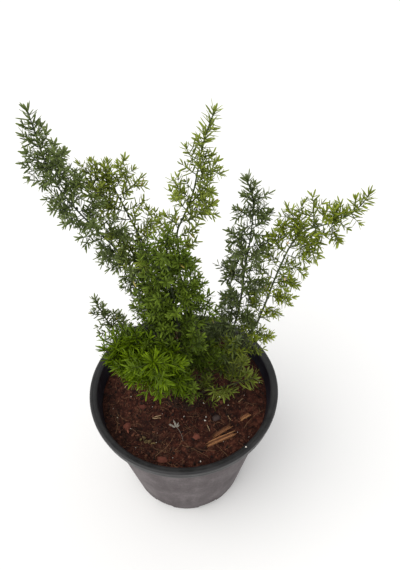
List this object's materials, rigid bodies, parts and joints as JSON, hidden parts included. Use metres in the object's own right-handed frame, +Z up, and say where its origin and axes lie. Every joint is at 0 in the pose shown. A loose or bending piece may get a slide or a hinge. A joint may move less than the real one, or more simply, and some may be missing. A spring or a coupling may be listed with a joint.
{
  "type": "potted asparagus fern",
  "caption": "Young asparagus fern in a tapered round nursery pot of coir soil: arching fronds of fine needle leaves rise from one rootstock over a wide-rimmed plastic pot.",
  "frame": {"origin": "centre of the pot's underside, on the surface that the pot stands on", "axes": "+Z up the pot's axis, +X to the viewer's right, +Y to the back; the young frond grows towards -Y"},
  "size_m": [0.28, 0.2, 0.4582],
  "materials": {
    "pot_plastic": "moulded, dusty satin",
    "soil": "loose coir and compost, matt",
    "root_bark": "rough, matt",
    "wood": "split, matt",
    "dark_foliage": "living leaf, satin",
    "mid_foliage": "living leaf, satin",
    "bright_foliage": "living leaf, satin",
    "young_foliage": "living leaf, satin",
    "olive_foliage": "living leaf, satin"
  },
  "bodies": {
    "root": {"pot": "pot_plastic", "soil": "soil", "rootstock": "root_bark", "long_wood_chip": "wood", "broken_wood_chip": "wood", "small_wood_chip": "wood", "tall_left_spray_1": "dark_foliage", "tall_left_spray_2": "dark_foliage", "tall_left_spray_3": "dark_foliage", "tall_left_spray_4": "dark_foliage", "tall_left_spray_5": "dark_foliage", "tall_left_spray_6": "dark_foliage", "tall_left_stem": "dark_foliage", "centre_left_spray_1": "mid_foliage", "centre_left_spray_2": "mid_foliage", "centre_left_spray_3": "mid_foliage", "centre_left_spray_4": "mid_foliage", "centre_left_spray_5": "mid_foliage", "centre_left_stem": "mid_foliage", "upright_spray_1": "bright_foliage", "upright_spray_2": "bright_foliage", "upright_spray_3": "bright_foliage", "upright_spray_4": "bright_foliage", "upright_spray_5": "bright_foliage", "upright_spray_6": "bright_foliage", "upright_stem": "bright_foliage", "dark_right_spray_1": "dark_foliage", "dark_right_spray_2": "dark_foliage", "dark_right_spray_3": "dark_foliage", "dark_right_spray_4": "dark_foliage", "dark_right_spray_5": "dark_foliage", "dark_right_stem": "dark_foliage", "arching_right_spray_1": "bright_foliage", "arching_right_spray_2": "bright_foliage", "arching_right_spray_3": "bright_foliage", "arching_right_spray_4": "bright_foliage", "arching_right_spray_5": "bright_foliage", "arching_right_spray_6": "bright_foliage", "arching_right_spray_7": "bright_foliage", "arching_right_stem": "bright_foliage", "low_left_spray_1": "dark_foliage", "low_left_spray_2": "dark_foliage", "low_left_stem": "dark_foliage", "middle_spray_1": "dark_foliage", "middle_spray_2": "dark_foliage", "middle_spray_3": "dark_foliage", "middle_spray_4": "dark_foliage", "middle_stem": "dark_foliage", "front_young_spray_1": "young_foliage", "front_young_spray_2": "young_foliage", "front_young_spray_3": "young_foliage", "front_young_spray_4": "young_foliage", "front_young_spray_5": "young_foliage", "front_young_spray_6": "young_foliage", "front_young_stem": "young_foliage", "low_front_spray_1": "olive_foliage", "low_front_spray_2": "olive_foliage", "low_front_spray_3": "olive_foliage", "low_front_stem": "olive_foliage"}
  },
  "joints": []
}
